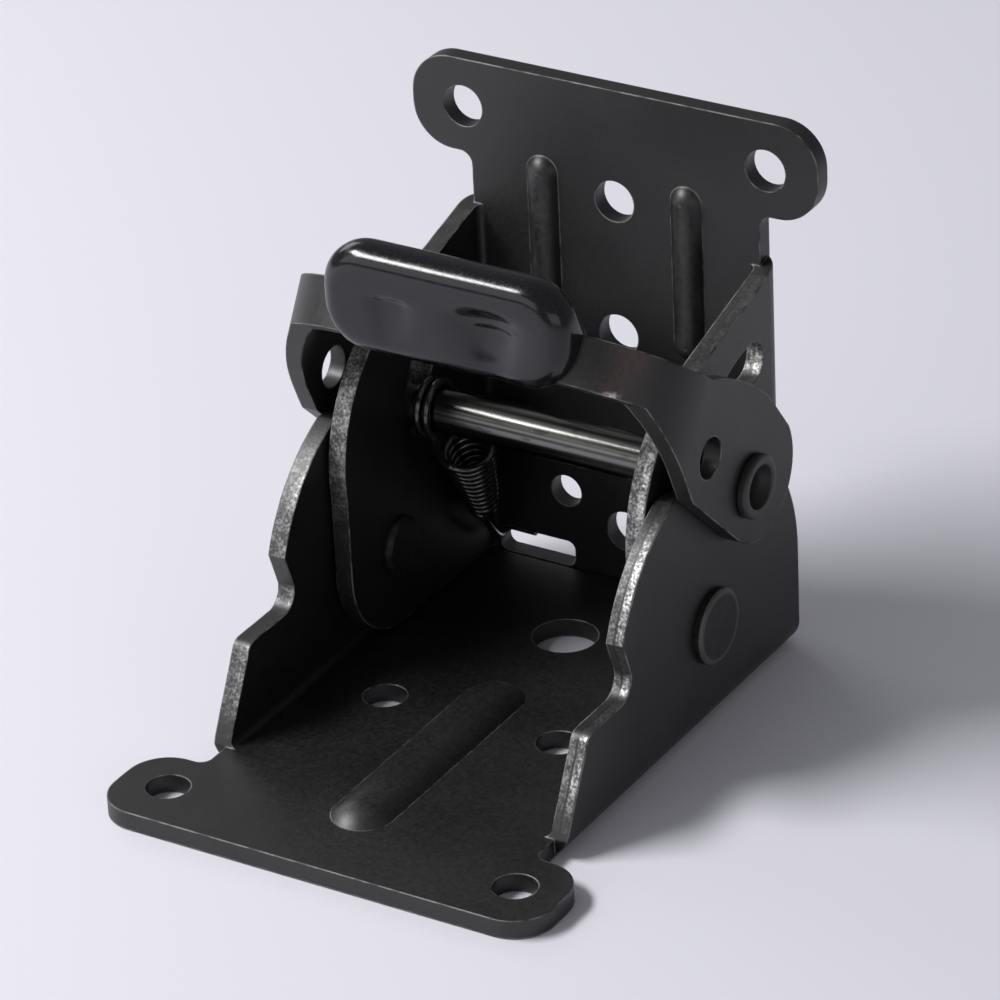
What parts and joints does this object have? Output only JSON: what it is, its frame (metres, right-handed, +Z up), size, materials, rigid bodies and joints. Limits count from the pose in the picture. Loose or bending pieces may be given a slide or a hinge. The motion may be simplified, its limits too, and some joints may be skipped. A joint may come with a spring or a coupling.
{
  "type": "folding table leg bracket",
  "caption": "Folding bracket of two pressed steel channels on rivets, with a sprung lock rod and a dipped lever, that holds a table leg upright or folded.",
  "frame": {"origin": "on the mounting face of the base channel, under the middle of the part's box", "axes": "+Z up off the base mounting face, +Y towards the face that the leg is screwed to, +X across along the pivot"},
  "size_m": [0.0648, 0.0822, 0.0745],
  "materials": {
    "black_steel": "satin",
    "rivet_steel": "satin",
    "bright_steel": "brushed",
    "black_vinyl": "gloss",
    "spring_steel": "gloss"
  },
  "bodies": {
    "base": {"base_bracket": "black_steel", "pivot_rivet_left": "rivet_steel", "pivot_rivet_right": "rivet_steel"},
    "leg": {"leg_bracket": "black_steel", "lock_spring": "spring_steel"},
    "latch": {"lock_rod": "bright_steel"},
    "lever": {"lock_lever": "black_steel", "lever_grip": "black_vinyl"}
  },
  "joints": [
    {"name": "fold", "type": "hinge", "parent": "base", "child": "leg", "pos_m": [0, 0.01535, 0.0145], "axis": [1, 0, 0], "range_deg": [0, 90]},
    {"name": "rod_lift", "type": "hinge", "parent": "leg", "child": "latch", "pos_m": [0, 0.03275, 0.0323], "axis": [-1, 0, 0], "range_deg": [0, 90], "deforming": ["lock_spring"]},
    {"name": "lever_swing", "type": "hinge", "parent": "latch", "child": "lever", "pos_m": [0, 0.02175, 0.0323], "axis": [1, 0, 0], "range_deg": [0, 75]}
  ],
  "couplings": [
    {"joint": "rod_lift", "follows": "fold", "ratio": 1},
    {"joint": "lever_swing", "follows": "fold", "ratio": 0.83333}
  ]
}
